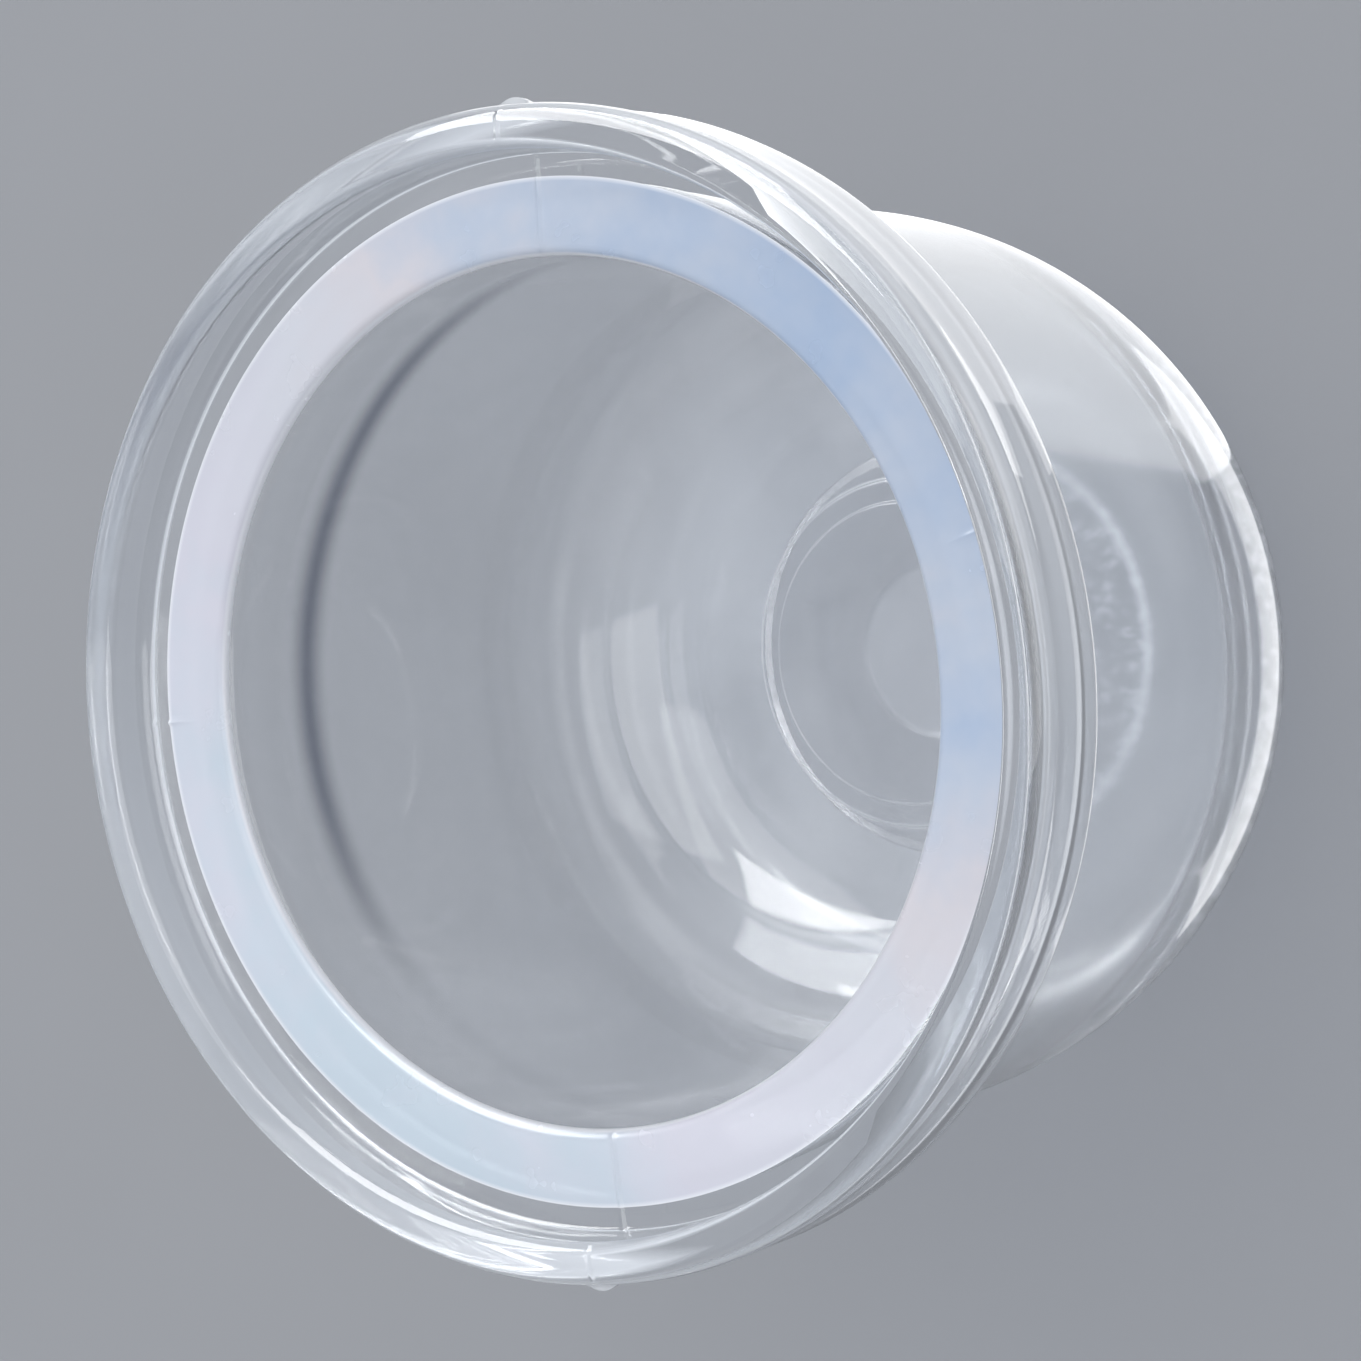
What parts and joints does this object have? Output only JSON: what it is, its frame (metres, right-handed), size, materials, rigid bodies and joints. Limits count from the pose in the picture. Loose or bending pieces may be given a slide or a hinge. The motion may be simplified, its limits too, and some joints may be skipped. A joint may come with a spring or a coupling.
{
  "type": "silicone cupping cup",
  "caption": "Clear silicone suction cup for cupping massage, with a thick-rimmed flange round the mouth and a crown that is pressed in to draw suction.",
  "frame": {"origin": "centre of the crown's outer face, the surface that the cup stands on with its mouth up", "axes": "+Z along the cup's axis, from the closed crown to the open mouth; +Y towards one end of the mould's parting line"},
  "size_m": [0.06, 0.0606, 0.046],
  "materials": {
    "silicone_clear": "clear, glossy, slightly tacky liquid silicone rubber",
    "silicone_milky": "milky where the light runs down the wall, glossy",
    "silicone_frosted": "frosted moulded texture"
  },
  "bodies": {
    "cup": {"rim_bead": "silicone_clear", "rim_flash": "silicone_clear", "flange_web": "silicone_clear", "parting_ridges": "silicone_clear", "mouth_lip": "silicone_milky", "neck_wall": "silicone_clear", "side_wall": "silicone_clear", "shoulder": "silicone_clear", "crown_fold": "silicone_clear"},
    "crown": {"crown_panel": "silicone_clear", "crown_step_ring": "silicone_clear", "crown_disc": "silicone_frosted", "gate_mark": "silicone_frosted"}
  },
  "joints": [
    {"name": "crown_press", "type": "slide", "parent": "cup", "child": "crown", "axis": [0, 0, 1], "range_m": [0, 0.007], "stiffness_N_per_m": 1200, "deforming": ["crown_fold"]}
  ]
}
